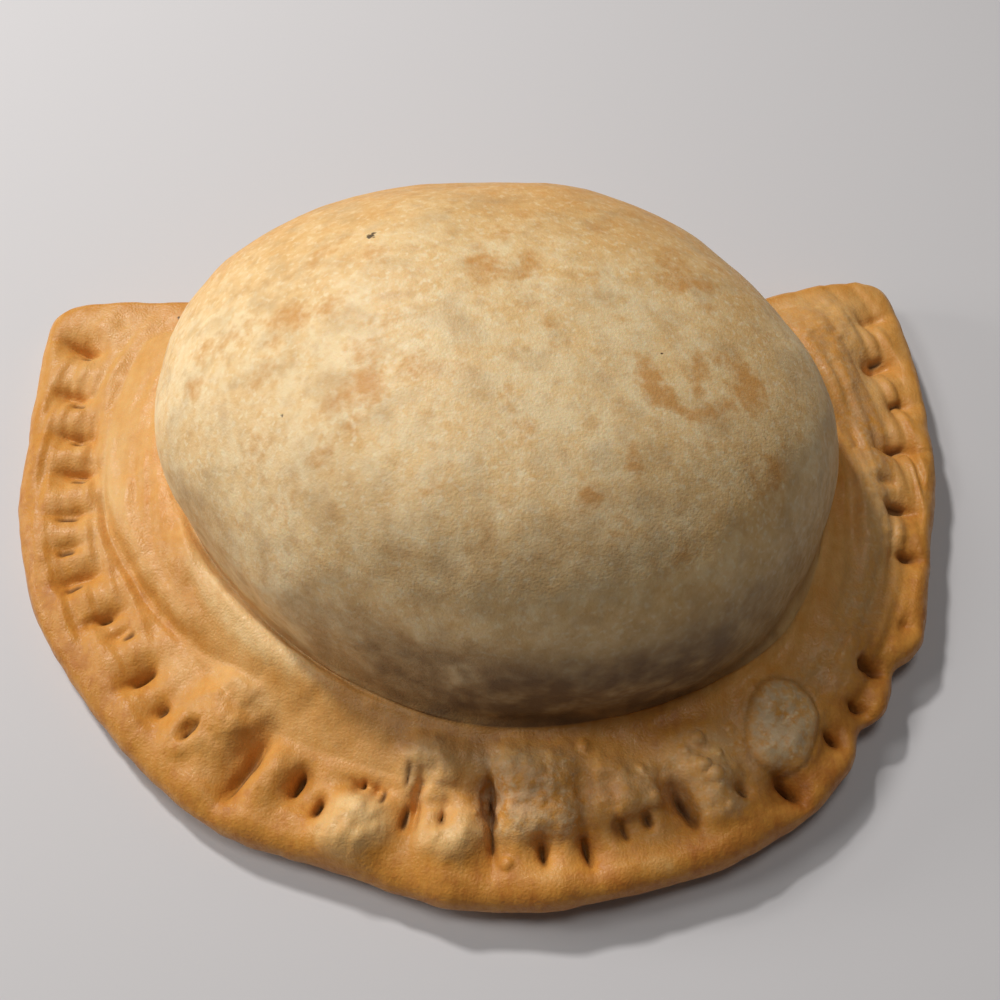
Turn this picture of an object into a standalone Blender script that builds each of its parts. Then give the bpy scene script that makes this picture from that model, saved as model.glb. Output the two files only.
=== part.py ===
"""A cheese calzone: one closed piece of puffed dough, a folded half-moon with a tall dome.

The body is one closed skin. Round a centre under the dome each bearing has a profile that runs from the
top of the dome down its wall to a crease, out over a soft collar to the flat rim that the fork sealed,
round the rim's edge and back along the underside to the flat patch that it rests on. The fold is at the
back, along +Y, and the fork-marked edge faces -Y. Bearings are in degrees, from +X towards +Y.
"""

import bpy
import numpy as np

MM = 0.001

# The rim's outline: straight along the fold, round along the sealed edge.
RIM_HALF_WIDTH = 100 * MM
RIM_FRONT_REACH = 89 * MM
RIM_BACK_REACH = 51 * MM
CORNER_SHARPNESS = 12
RIM_THICKNESS = 8.5 * MM
# Where the hand-shaped edge leaves that outline: bearing, spread in degrees, swell.
RIM_SWELLS = (
    (213, 26, -5.3 * MM),
    (250, 12, -3.4 * MM),
    (302, 13, 2.0 * MM),
    (346, 15, -4.4 * MM),
    (276, 18, 0.5 * MM),
    (319, 3, -3.4 * MM),
    (324, 2, -1.0 * MM),
    (328, 3, -3.4 * MM),
    (35, 9, -13.0 * MM),
    (28, 4, 6.6 * MM),
    (40, 5, -1.4 * MM),
    (152, 4, 3.0 * MM),
)
# Where the rim curls up off the table: bearing, spread, rise of its underside.
RIM_REST_RISE = 0.8 * MM
RIM_CURLS = ((292, 52, 1.6 * MM), (0, 45, 1.2 * MM))

# The dome's reach from the centre at its widest, every 30 degrees from +X, then its section.
DOME_REACHES = np.array((71, 65.5, 61, 56.5, 60.5, 67, 64.5, 57, 54.2, 57.2, 63, 69.2)) * MM
DOME_HEIGHT = 66.5 * MM
DOME_WAIST = 17 * MM
DOME_TOP_POWER = 1.85
DOME_WALL_POWER = 2.2
# Its front stands fuller and steeper: bearing, spread, and what that adds to both powers.
DOME_FULL_FRONT = ((268, 55, 0.8),)
# How far the dome's foot is tucked in under its widest line, and where it differs: bearing, spread, tuck.
DOME_TUCK = 1.8 * MM
DOME_TUCKS = ((212, 26, -1.5 * MM), (270, 36, -1.6 * MM), (326, 17, -2.4 * MM), (178, 12, -0.8 * MM))
CREASE_HEIGHT = 13 * MM
# The radius of the hollow between the dome's wall and the collar: bearing, spread, radius.
CREASE_RADIUS = 1.5 * MM
CREASE_RADII = ((272, 34, 3.6 * MM), (330, 26, 3.0 * MM), (240, 12, 1.0 * MM))
# At the back the sheet was folded over, so the wall runs down to a low round foot with no collar.
FOLD_MARGIN = 2.4 * MM
FOLD_FOOT_THICKNESS = 4.4 * MM
FOLD_CREASE_HEIGHT = 5.6 * MM
FOLD_BLEND = 16 * MM
# How much of the tuck and of the hollow goes where the fold comes in.
FOLD_LESS_TUCK = 0.8
FOLD_LESS_HOLLOW = 0.6

# The collar: the puffed slope between the dome's foot and the sealed rim, as a share of that gap.
COLLAR_SHARE = 0.42
COLLAR_SHARES = ((185, 20, 0.06), (8, 28, 0.16), (345, 16, 0.1))
COLLAR_FULLNESS = 2.4

# The soft roll of dough that lies along the dome's foot at the left.
ROLL_BEARING, ROLL_SPREAD = 217, 24
ROLL_OFFSET = 3.4 * MM
ROLL_INNER_WIDTH, ROLL_OUTER_WIDTH = 3.6 * MM, 6.6 * MM
ROLL_RISE = 4.6 * MM
ROLL_ROUNDNESS = 2.4

# The flap's edge, a step that runs down the left of the collar: bearing and reach at both ends.
FLAP_START = (162, 88.5 * MM)
FLAP_END = (224, 65.0 * MM)
FLAP_GROOVE = 1.5 * MM
FLAP_GROOVE_HALF_WIDTH = 1.3 * MM
# The lip inside the groove, against the groove: its rise, how far in it lies and its width.
FLAP_LIP_RISE = 0.8
FLAP_LIP_OFFSET = 2.6
FLAP_LIP_WIDTH = 1.9
# The step is whole in the middle of the line and fades out towards its ends.
FLAP_MIDDLE, FLAP_FADE = 0.55, 2.4

# The fork's prints: bearing, how far each is from the edge, how long and how deep it is, in millimetres.
FORK_PRINTS = (
    (157.3, 9.6, 8.5, 5.2), (165, 9.4, 7.5, 3.6), (171.4, 10.8, 7.5, 3.6), (177.4, 11.6, 7.5, 3.8),
    (184.2, 11.4, 8.0, 2.4), (189.4, 10.0, 5.0, 2.0), (194.5, 9.4, 8.0, 3.4), (201.6, 10.4, 7.5, 3.0),
    (205.0, 11.6, 4.5, 2.2), (212.6, 9.8, 6.5, 3.6), (218.5, 9.2, 3.5, 2.4), (223.7, 10.6, 5.0, 3.2),
    (233.5, 11.0, 12.5, 4.8), (241, 12.5, 5.5, 4.2), (245.5, 9.4, 3.5, 3.2), (249.5, 14.4, 2.5, 2.6),
    (252.3, 14.0, 3.5, 2.8), (258.5, 14.5, 11.5, 4.6), (262.5, 13.6, 4.0, 3.4), (269, 15.0, 13.5, 6.4),
    (275.6, 9.0, 4.5, 3.6), (281.2, 8.6, 6.0, 4.4), (285.8, 10.4, 3.5, 2.8), (289.5, 11.2, 3.0, 3.0),
    (294.8, 11.6, 6.5, 5.6), (302, 9.8, 4.0, 3.4), (307.0, 5.8, 6.0, 7.0), (315.5, 5.6, 4.0, 3.8),
    (321, 3.8, 4.0, 4.0), (326.5, 5.0, 5.0, 4.0), (334, 4.0, 3.0, 1.8), (343.5, 5.5, 5.5, 2.8),
    (350.5, 8.4, 7.0, 3.4), (354.5, 12.0, 4.0, 1.8), (0.4, 8.6, 7.0, 3.4), (7.4, 6.4, 5.0, 2.6),
    (14.4, 8.8, 7.0, 4.2), (21.5, 7.0, 6.0, 2.4),
)
PRINT_HALF_WIDTH = 1.0 * MM
# Round each print the dough is pressed down more widely: how many times as wide, and its share of the depth.
PRESS_WIDTH = 3.2
PRESS_SHARE = 0.55
# Each print is deepest at its inner end: how much deeper than at its outer end.
PRINT_TILT = 0.3
# How suddenly a print ends along its length, and how much more softly its pressed surround does.
PRINT_END_POWER = 2.6
PRESS_END_SHARE = 0.45

# Blisters and pillows, in millimetres: plan place, half sizes, turn in degrees, rise, and how boxy.
BLISTERS = {
    "block": ((5.8, -52.6), (10.6, 8.0), -2, 5.2, 5),
    "bubble": ((52.8, -41.4), (8.2, 6.6), 68, 4.6, 3.2),
    "left_pillow": ((-50.5, -34), (7.5, 6.5), 40, 3.2, 2.4),
    "left_outer_pillow": ((-58, -37.5), (4.5, 4.0), 30, 1.6, 2),
    "next_to_slit": ((-41, -45.5), (5.0, 4.5), 45, 2.0, 2),
    "round_pillow": ((-26, -56), (7.0, 6.0), 20, 4.0, 2.4),
    "upper_pillow": ((-12, -48), (5.0, 6.0), 0, 4.0, 2.6),
    "lower_pillow": ((-9, -58.5), (6.5, 5.0), 0, 3.4, 2.2),
    "by_the_block": ((20.2, -53), (3.4, 6.5), 0, 3.0, 2.4),
    "small_blister": ((26, -53), (4.0, 5.0), 0, 3.6, 3),
    "boxy_pillow": ((39.3, -52.6), (6.4, 5.0), 8, 4.4, 3.4),
    "froth": ((37, -46), (7.0, 4.5), 10, 2.2, 2),
    "right_pillow": ((68.5, -27), (6.0, 5.0), 60, 2.4, 2),
    "right_lobe": ((80, 4), (5.5, 11.0), 0, 2.4, 2.4),
    "corner_lobe": ((79, 45), (8.0, 15.0), -8, 2.8, 2.6),
}
BLISTER_EDGE_POWER = 3

RIM_EDGE_SOFTNESS = 3 * MM
RIM_EDGE_SHARE = 0.8
UNDERSIDE_POWER = 1.5

BASE_SHARE = 0.86
UNEVENNESS = 0.9 * MM
UNEVENNESS_SIZE = 26 * MM
NOISE_OFFSET = 300 * MM
NOISE_CELLS = 16

# The grid of the skin, before it is thinned to flat facets.
COLUMNS = 480
ROWS = {"dome": 34, "tuck": 8, "collar": 26, "rim": 30, "edge": 9, "under": 8}
FACET_SHARE = 0.088

CRUST_COLOUR = (0.72, 0.47, 0.22, 1.0)
CRUST_ROUGHNESS = 0.62

# Bearings are measured about this point of the plan, under the top of the dome.
CENTRE = np.array((0.0, 18 * MM))


def near(bearing, middle, spread):
    """1 at the middle bearing, fading to 0 over the spread to both sides."""
    gap = (bearing - middle + 180) % 360 - 180
    return np.exp(-((gap / spread) ** 2))


def swelled(value, swells, bearing):
    return value + sum(size * near(bearing, middle, spread) for middle, spread, size in swells)


def directions(bearing):
    """Unit vectors outwards and along the rim, in plan."""
    turn = np.radians(bearing)
    out = np.stack([np.cos(turn), np.sin(turn)], -1)
    return out, np.stack([-out[..., 1], out[..., 0]], -1)


def rim_radius(bearing):
    out, _ = directions(bearing)
    side, along = np.abs(out[..., 0]) / RIM_HALF_WIDTH, out[..., 1]
    back = side**CORNER_SHARPNESS + (np.maximum(along, 0) / RIM_BACK_REACH) ** CORNER_SHARPNESS
    front = side**2 + (np.minimum(along, 0) / RIM_FRONT_REACH) ** 2
    return swelled(np.where(along >= 0, back ** (-1 / CORNER_SHARPNESS), front**-0.5), RIM_SWELLS, bearing)


def dome_radius(bearing):
    """A smooth closed curve through the dome's reaches."""
    place = (bearing % 360) * len(DOME_REACHES) / 360
    low = np.floor(place).astype(int)
    part = place - low
    before, here, after, beyond = (DOME_REACHES[(low + step) % len(DOME_REACHES)] for step in (-1, 0, 1, 2))
    bend = 2 * before - 5 * here + 4 * after - beyond + part * (3 * (here - after) + beyond - before)
    return here + 0.5 * part * (after - before + part * bend)


def smooth_max(a, b, soft):
    return 0.5 * (a + b + np.sqrt((a - b) ** 2 + soft**2))


def soft_noise(points, size, seed):
    """Smooth random values from -1 to 1 that change over the given size."""
    lattice = np.random.default_rng(seed).uniform(-1, 1, (NOISE_CELLS,) * 3)
    scaled = points / size
    low = np.floor(scaled).astype(int)
    part = scaled - low
    part = part * part * (3 - 2 * part)
    total = np.zeros(points.shape[:-1])
    for corner in np.ndindex(2, 2, 2):
        index = (low + corner) % NOISE_CELLS
        share = np.prod(np.where(np.array(corner) == 1, part, 1 - part), axis=-1)
        total += share * lattice[index[..., 0], index[..., 1], index[..., 2]]
    return total


def fork_prints(plan):
    """How deep the fork's prints are at each plan point."""
    depth = np.zeros(plan.shape[:-1])
    for bearing, inset, length, deep in FORK_PRINTS:
        out, along = directions(np.array(float(bearing)))
        middle = CENTRE + (rim_radius(np.array(float(bearing))) - inset * MM) * out
        reach, across = (plan - middle) @ out / (length / 2 * MM), (plan - middle) @ along
        tilt = 1 - PRINT_TILT * np.clip(reach, -1, 1)
        reach = np.abs(reach) ** PRINT_END_POWER
        core = np.exp(-((across / PRINT_HALF_WIDTH) ** 2) - reach)
        press = np.exp(-((across / (PRINT_HALF_WIDTH * PRESS_WIDTH)) ** 2) - PRESS_END_SHARE * reach)
        depth = depth + deep * MM * tilt * ((1 - PRESS_SHARE) * core + PRESS_SHARE * press)
    return depth


def blisters(plan):
    """How far the blisters and pillows stand up at each plan point."""
    rise = np.zeros(plan.shape[:-1])
    for place, half_sizes, turn, height, boxiness in BLISTERS.values():
        long_way, short_way = directions(np.array(float(turn)))
        offset = plan - np.array(place) * MM
        spread = (
            np.abs(offset @ long_way / (half_sizes[0] * MM)) ** boxiness
            + np.abs(offset @ short_way / (half_sizes[1] * MM)) ** boxiness
        ) ** (1 / boxiness)
        rise = rise + height * MM * np.exp(-(spread**BLISTER_EDGE_POWER))
    return rise


def flap_step(bearing, reach):
    """The groove along the flap's edge, with the dough inside it standing proud."""
    share = (bearing - FLAP_START[0]) / (FLAP_END[0] - FLAP_START[0])
    line = FLAP_START[1] + share * (FLAP_END[1] - FLAP_START[1])
    fade = np.clip(1.4 - FLAP_FADE * np.abs(share - FLAP_MIDDLE), 0, 1)
    offset = (reach - line) / FLAP_GROOVE_HALF_WIDTH
    lip = FLAP_LIP_RISE * np.exp(-(((offset + FLAP_LIP_OFFSET) / FLAP_LIP_WIDTH) ** 2))
    return fade * FLAP_GROOVE * (lip - np.exp(-(offset**2)))


def foot_roll(bearing, beyond_crease):
    """The rise of the roll that lies along the dome's foot."""
    offset = beyond_crease - ROLL_OFFSET
    offset = np.abs(offset) / np.where(offset < 0, ROLL_INNER_WIDTH, ROLL_OUTER_WIDTH)
    return ROLL_RISE * near(bearing, ROLL_BEARING, ROLL_SPREAD) * np.exp(-(offset**ROLL_ROUNDNESS))


def crease_fill(radius, above, beyond):
    """How far the hollow of that radius moves a point at the crease out and up.

    The point lies some way above the crease, on the wall, or some way beyond it, on the collar.
    """
    off_wall = np.clip(beyond / radius, 0, 1)
    off_collar = np.clip(above / radius, 0, 1)
    turn = np.pi / 4 * (1 + off_wall - off_collar)
    out = radius * (1 - np.cos(turn) - off_wall)
    up = radius * (1 - np.sin(turn) - off_collar)
    return out, up


def profile(bearing, rows):
    """Reach and height along each bearing's profile, from the top of the dome to the flat base."""
    dome = dome_radius(bearing)
    fold = np.clip((dome + FOLD_BLEND - rim_radius(bearing)) / FOLD_BLEND, 0, 1)
    fold = fold * fold * (3 - 2 * fold)
    crease = dome - swelled(DOME_TUCK, DOME_TUCKS, bearing) * (1 - FOLD_LESS_TUCK * fold)
    crease_height = CREASE_HEIGHT + (FOLD_CREASE_HEIGHT - CREASE_HEIGHT) * fold
    thickness = RIM_THICKNESS + (FOLD_FOOT_THICKNESS - RIM_THICKNESS) * fold
    rim = smooth_max(rim_radius(bearing), dome + FOLD_MARGIN, RIM_EDGE_SOFTNESS)
    collar_end = crease + swelled(COLLAR_SHARE, COLLAR_SHARES, bearing) * (rim - crease)
    edge = np.minimum(thickness / 2, RIM_EDGE_SHARE * (rim - collar_end))
    rise = swelled(RIM_REST_RISE, RIM_CURLS, bearing)
    rim_top = rise + thickness
    radius = swelled(CREASE_RADIUS, CREASE_RADII, bearing) * (1 - FOLD_LESS_HOLLOW * fold)
    top_power = swelled(DOME_TOP_POWER, DOME_FULL_FRONT, bearing)
    wall_power = swelled(DOME_WALL_POWER, DOME_FULL_FRONT, bearing)
    reach, height, zone = [], [], []

    def add(r, z, name):
        reach.append(r)
        height.append(z + 0 * r)
        zone.append(name)

    for t in np.linspace(0, np.pi / 2, rows["dome"] + 1)[1:]:
        z = DOME_WAIST + (DOME_HEIGHT - DOME_WAIST) * max(np.cos(t), 0) ** (2 / wall_power)
        out, up = crease_fill(radius, z - crease_height, 0)
        add(dome * np.sin(t) ** (2 / top_power) + out, z + up, "dome")
    for t in np.linspace(0, np.pi / 2, rows["tuck"] + 1)[1:]:
        z = DOME_WAIST - (DOME_WAIST - crease_height) * np.sin(t)
        out, up = crease_fill(radius, z - crease_height, 0)
        add(dome - (dome - crease) * (1 - np.cos(t)) + out, z + up, "tuck")
    for t in np.linspace(0, 1, rows["collar"] + 1)[1:]:
        beyond = (collar_end - crease) * t
        out, up = crease_fill(radius, 0, beyond)
        z = rim_top + (crease_height - rim_top) * (1 - t**COLLAR_FULLNESS)
        add(crease + beyond + out, z + up, "collar")
    for t in np.linspace(0, 1, rows["rim"] + 1)[1:]:
        add(collar_end + (rim - edge - collar_end) * t, rim_top, "rim")
    for t in np.linspace(0, np.pi, rows["edge"] + 1)[1:]:
        add(rim - edge + edge * np.sin(t), rise + thickness / 2 * (1 + np.cos(t)), "edge")
    base = BASE_SHARE * dome
    for t in np.linspace(0, 1, rows["under"] + 1)[1:]:
        add((rim - edge) + (base - rim + edge) * t, rise * (1 - t) ** UNDERSIDE_POWER, "under")
    return np.array(reach), np.array(height), np.array(zone), crease


def skin(columns, rows):
    """The skin's points as rows by columns, with the top of the dome and the middle of the base."""
    bearing = np.arange(columns) * 360 / columns
    reach, height, zone, crease = profile(bearing, rows)
    out, _ = directions(bearing)
    plan = CENTRE + reach[..., None] * out
    relief = blisters(plan) - fork_prints(plan)
    relief += flap_step(bearing[None, :], reach) + foot_roll(bearing[None, :], reach - crease)
    # The relief comes in over the first rows of the collar and goes out half-way round the rim's edge.
    weight = np.where(zone == "rim", 1.0, 0.0)
    weight[zone == "collar"] = np.clip(np.linspace(0, 9, rows["collar"]), 0, 1)
    weight[zone == "edge"] = np.clip(1 - np.linspace(0, 2, rows["edge"]), 0, 1)
    points = np.concatenate([plan, height[..., None]], -1)
    points[..., 2] += weight[:, None] * relief
    uneven = UNEVENNESS * soft_noise(points + NOISE_OFFSET, UNEVENNESS_SIZE, seed=7)
    outwards = points - np.array((CENTRE[0], CENTRE[1], DOME_WAIST / 2))
    outwards /= np.linalg.norm(outwards, axis=-1, keepdims=True)
    top = np.isin(zone, ("dome", "tuck", "collar", "rim"))
    points[top] += (uneven[..., None] * outwards)[top]
    peak = points[0].mean(0)
    return points, peak


def skin_mesh(name, columns, rows):
    points, peak = skin(columns, rows)
    count = len(points)
    corners = np.concatenate([points.reshape(-1, 3), peak[None]])
    top = count * columns
    this = np.arange(columns)
    after = (this + 1) % columns
    faces = [(top, a, b) for a, b in zip(this, after)]
    for row in range(count - 1):
        low, high = row * columns, (row + 1) * columns
        faces += [(low + a, high + a, high + b, low + b) for a, b in zip(this, after)]
    faces.append(tuple((count - 1) * columns + this[::-1]))
    mesh = bpy.data.meshes.new(name)
    mesh.from_pydata([tuple(p) for p in corners], [], [tuple(int(i) for i in f) for f in faces])
    mesh.validate()
    mesh.shade_smooth()
    return mesh


def crust_material():
    made = bpy.data.materials.new("crust")
    made.use_nodes = True
    shader = made.node_tree.nodes["Principled BSDF"]
    shader.inputs["Base Color"].default_value = CRUST_COLOUR
    shader.inputs["Roughness"].default_value = CRUST_ROUGHNESS
    shader.inputs["Metallic"].default_value = 0.0
    return made


def rest_on_origin(body):
    """Puts the middle of the body's footprint on the origin."""
    bpy.context.view_layer.update()
    seen = body.evaluated_get(bpy.context.evaluated_depsgraph_get())
    corners = np.array([tuple(corner) for corner in seen.bound_box])
    low, high = corners.min(0), corners.max(0)
    body.location = (-(low[0] + high[0]) / 2, -(low[1] + high[1]) / 2, -low[2])


def main():
    for old in list(bpy.data.objects):
        bpy.data.objects.remove(old)
    body = bpy.data.objects.new("calzone", skin_mesh("calzone", COLUMNS, ROWS))
    bpy.context.scene.collection.objects.link(body)
    body.data.materials.append(crust_material())
    thin = body.modifiers.new("facets", "DECIMATE")
    thin.ratio = FACET_SHARE
    rest_on_origin(body)


main()
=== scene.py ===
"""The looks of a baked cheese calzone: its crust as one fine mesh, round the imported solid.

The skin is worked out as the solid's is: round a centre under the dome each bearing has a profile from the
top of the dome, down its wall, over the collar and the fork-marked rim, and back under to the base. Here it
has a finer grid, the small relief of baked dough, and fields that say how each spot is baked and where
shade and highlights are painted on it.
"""

import math

import bpy
import numpy as np
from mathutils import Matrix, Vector


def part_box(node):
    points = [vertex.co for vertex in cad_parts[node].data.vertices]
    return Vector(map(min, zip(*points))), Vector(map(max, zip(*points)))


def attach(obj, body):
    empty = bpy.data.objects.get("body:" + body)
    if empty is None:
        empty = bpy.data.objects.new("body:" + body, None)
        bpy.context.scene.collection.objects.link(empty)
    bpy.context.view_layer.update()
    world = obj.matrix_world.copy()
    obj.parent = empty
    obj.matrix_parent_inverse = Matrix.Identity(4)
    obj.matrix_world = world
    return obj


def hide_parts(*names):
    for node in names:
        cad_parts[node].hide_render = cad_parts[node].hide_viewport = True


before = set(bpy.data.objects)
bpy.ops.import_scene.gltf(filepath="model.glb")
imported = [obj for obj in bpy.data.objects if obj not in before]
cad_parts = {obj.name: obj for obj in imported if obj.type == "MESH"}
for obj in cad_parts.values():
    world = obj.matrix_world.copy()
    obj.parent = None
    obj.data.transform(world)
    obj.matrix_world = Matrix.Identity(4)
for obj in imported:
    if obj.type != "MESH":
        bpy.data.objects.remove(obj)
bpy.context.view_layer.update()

MM = 0.001

# The rim's outline: straight along the fold, round along the sealed edge.
RIM_HALF_WIDTH = 100 * MM
RIM_FRONT_REACH = 89 * MM
RIM_BACK_REACH = 51 * MM
CORNER_SHARPNESS = 12
RIM_THICKNESS = 8.5 * MM
# Where the hand-shaped edge leaves that outline: bearing, spread in degrees, swell.
RIM_SWELLS = (
    (213, 26, -5.3 * MM),
    (250, 12, -3.4 * MM),
    (302, 13, 2.0 * MM),
    (346, 15, -4.4 * MM),
    (276, 18, 0.5 * MM),
    (319, 3, -3.4 * MM),
    (324, 2, -1.0 * MM),
    (328, 3, -3.4 * MM),
    (35, 9, -13.0 * MM),
    (28, 4, 6.6 * MM),
    (40, 5, -1.4 * MM),
    (152, 4, 3.0 * MM),
)
# Where the rim curls up off the table: bearing, spread, rise of its underside.
RIM_REST_RISE = 0.8 * MM
RIM_CURLS = ((292, 52, 1.6 * MM), (0, 45, 1.2 * MM))

# The dome's reach from the centre at its widest, every 30 degrees from +X, then its section.
DOME_REACHES = np.array((71, 65.5, 61, 56.5, 60.5, 67, 64.5, 57, 54.2, 57.2, 63, 69.2)) * MM
DOME_HEIGHT = 66.5 * MM
DOME_WAIST = 17 * MM
DOME_TOP_POWER = 1.85
DOME_WALL_POWER = 2.2
# Its front stands fuller and steeper: bearing, spread, and what that adds to both powers.
DOME_FULL_FRONT = ((268, 55, 0.8),)
# How far the dome's foot is tucked in under its widest line, and where it differs: bearing, spread, tuck.
DOME_TUCK = 1.8 * MM
DOME_TUCKS = ((212, 26, -1.5 * MM), (270, 36, -1.6 * MM), (326, 17, -2.4 * MM), (178, 12, -0.8 * MM))
CREASE_HEIGHT = 13 * MM
# The radius of the hollow between the dome's wall and the collar: bearing, spread, radius.
CREASE_RADIUS = 1.5 * MM
CREASE_RADII = ((272, 34, 3.6 * MM), (330, 26, 3.0 * MM), (240, 12, 1.0 * MM))
# At the back the sheet was folded over, so the wall runs down to a low round foot with no collar.
FOLD_MARGIN = 2.4 * MM
FOLD_FOOT_THICKNESS = 4.4 * MM
FOLD_CREASE_HEIGHT = 5.6 * MM
FOLD_BLEND = 16 * MM
# How much of the tuck and of the hollow goes where the fold comes in.
FOLD_LESS_TUCK = 0.8
FOLD_LESS_HOLLOW = 0.6

# The collar: the puffed slope between the dome's foot and the sealed rim, as a share of that gap.
COLLAR_SHARE = 0.42
COLLAR_SHARES = ((185, 20, 0.06), (8, 28, 0.16), (345, 16, 0.1))
COLLAR_FULLNESS = 2.4

# The soft roll of dough that lies along the dome's foot at the left, narrower than in the plain solid.
ROLL_BEARING, ROLL_SPREAD = 217, 24
ROLL_OFFSET = 3.4 * MM
ROLL_INNER_WIDTH, ROLL_OUTER_WIDTH = 3.0 * MM, 4.6 * MM
ROLL_RISE = 4.6 * MM
ROLL_ROUNDNESS = 2.4

# The flap's edge, a step that runs down the left of the collar: bearing and reach at both ends.
FLAP_START = (162, 88.5 * MM)
FLAP_END = (224, 65.0 * MM)
FLAP_GROOVE = 1.5 * MM
FLAP_GROOVE_HALF_WIDTH = 1.3 * MM
# The lip inside the groove, against the groove: its rise, how far in it lies and its width.
FLAP_LIP_RISE = 0.8
FLAP_LIP_OFFSET = 2.6
FLAP_LIP_WIDTH = 1.9
# The step is whole in the middle of the line and fades out towards its ends.
FLAP_MIDDLE, FLAP_FULLNESS, FLAP_FADE = 0.55, 1.4, 2.4

# The fork's prints: bearing, how far each is from the edge, how long and how deep it is, in millimetres.
FORK_PRINTS = (
    (157.3, 9.6, 8.5, 5.2), (165, 9.4, 7.5, 3.6), (171.4, 10.8, 7.5, 3.6), (177.4, 11.6, 7.5, 3.8),
    (184.2, 11.4, 8.0, 2.4), (189.4, 10.0, 5.0, 2.0), (194.5, 9.4, 8.0, 3.4), (201.6, 10.4, 7.5, 3.0),
    (205.0, 11.6, 4.5, 2.2), (212.6, 9.8, 6.5, 3.6), (218.5, 9.2, 3.5, 2.4), (223.7, 10.6, 5.0, 3.2),
    (233.5, 11.0, 12.5, 4.8), (241, 12.5, 5.5, 4.2), (245.5, 9.4, 3.5, 3.2), (249.5, 14.4, 2.5, 2.6),
    (252.3, 14.0, 3.5, 2.8), (258.5, 14.5, 11.5, 4.6), (262.5, 13.6, 4.0, 3.4), (269, 15.0, 13.5, 6.4),
    (275.6, 9.0, 4.5, 3.6), (281.2, 8.6, 6.0, 4.4), (285.8, 10.4, 3.5, 2.8), (289.5, 11.2, 3.0, 3.0),
    (294.8, 11.6, 6.5, 5.6), (302, 9.8, 4.0, 3.4), (307.0, 5.8, 6.0, 7.0), (315.5, 5.6, 4.0, 3.8),
    (321, 3.8, 4.0, 4.0), (326.5, 5.0, 5.0, 4.0), (334, 4.0, 3.0, 1.8), (343.5, 5.5, 5.5, 2.8),
    (350.5, 8.4, 7.0, 3.4), (354.5, 12.0, 4.0, 1.8), (0.4, 8.6, 7.0, 3.4), (7.4, 6.4, 5.0, 2.6),
    (14.4, 8.8, 7.0, 4.2), (21.5, 7.0, 6.0, 2.4),
)
PRINT_HALF_WIDTH = 1.0 * MM
# Round each print the dough is pressed down more widely: how many times as wide, and its share of the
# depth.
PRESS_WIDTH = 3.2
PRESS_SHARE = 0.55
# Each print is deepest at its inner end: how much deeper than at its outer end.
PRINT_TILT = 0.3
# How suddenly a print ends along its length, and how much more softly its pressed surround does.
PRINT_END_POWER = 2.6
PRESS_END_SHARE = 0.45

# Blisters and pillows, in millimetres: plan place, half sizes, turn in degrees, rise, and how boxy. The
# bubble is rounder than in the plain solid.
BLISTERS = {
    "block": ((5.8, -52.6), (10.6, 8.0), -2, 5.2, 5),
    "bubble": ((53.2, -41.4), (8.2, 5.9), 72, 4.4, 2.5),
    "left_pillow": ((-50.5, -34), (7.5, 6.5), 40, 3.2, 2.4),
    "left_outer_pillow": ((-58, -37.5), (4.5, 4.0), 30, 1.6, 2),
    "next_to_slit": ((-41, -45.5), (5.0, 4.5), 45, 2.0, 2),
    "round_pillow": ((-26, -56), (7.0, 6.0), 20, 4.0, 2.4),
    "upper_pillow": ((-12, -48), (5.0, 6.0), 0, 4.0, 2.6),
    "lower_pillow": ((-9, -58.5), (6.5, 5.0), 0, 3.4, 2.2),
    "by_the_block": ((20.2, -53), (3.4, 6.5), 0, 3.0, 2.4),
    "small_blister": ((26, -53), (4.0, 5.0), 0, 3.6, 3),
    "boxy_pillow": ((39.3, -52.6), (6.4, 5.0), 8, 4.4, 3.4),
    "froth": ((37, -46), (7.0, 4.5), 10, 2.2, 2),
    "right_pillow": ((68.5, -27), (6.0, 5.0), 60, 2.4, 2),
    "right_lobe": ((80, 4), (5.5, 11.0), 0, 2.4, 2.4),
    "corner_lobe": ((79, 45), (8.0, 15.0), -8, 2.8, 2.6),
}
BLISTER_EDGE_POWER = 3

RIM_EDGE_SOFTNESS = 3 * MM
RIM_EDGE_SHARE = 0.8
UNDERSIDE_POWER = 1.5

BASE_SHARE = 0.86
UNEVENNESS, UNEVENNESS_SIZE, UNEVENNESS_SEED = 0.9 * MM, 26 * MM, 7
NOISE_OFFSET = 300 * MM
NOISE_CELLS = 16

# Bearings are measured about this point of the plan, under the top of the dome.
CENTRE = np.array((0.0, 18 * MM))

# The skin's grid: columns along the fork-marked edge, from one end of the fold round to the other, then
# along the fold. The dome and the underside have half as many.
FRONT_COLUMNS, FRONT_FROM, FRONT_TO = 860, 145, 400
FOLD_COLUMNS = 90
ROWS = {"dome": 52, "tuck": 5, "collar": 26, "rim": 36, "edge": 7, "under": 5}
COARSE_ZONES = ("dome", "tuck", "under")
DOME_ZONES = ("dome", "tuck")
TOP_ZONES = (*DOME_ZONES, "collar", "rim")
# The relief comes in over one part in nine of the collar's rows and goes out over half of the edge's.
COLLAR_FADE_IN, EDGE_FADE_OUT = 9, 2
# How far the peak stands above the innermost row.
PEAK_RISE = 0.01 * MM

# The camera's place against the calzone, as the photograph was taken.
CAMERA_AZIMUTH, CAMERA_ELEVATION = -2.6, 60
CAMERA_DISTANCE = 242 * MM
CAMERA_TARGET = Vector((3.8, 15.9, 0)) * MM
FOCAL_LENGTH_MM, SENSOR_WIDTH_MM = 39.6, 36
CLIP_START = 10 * MM


def smooth_step(value, low, high):
    """0 up to the low value and 1 from the high one, smooth in between."""
    share = np.clip((value - low) / (high - low), 0, 1)
    return share * share * (3 - 2 * share)


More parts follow.
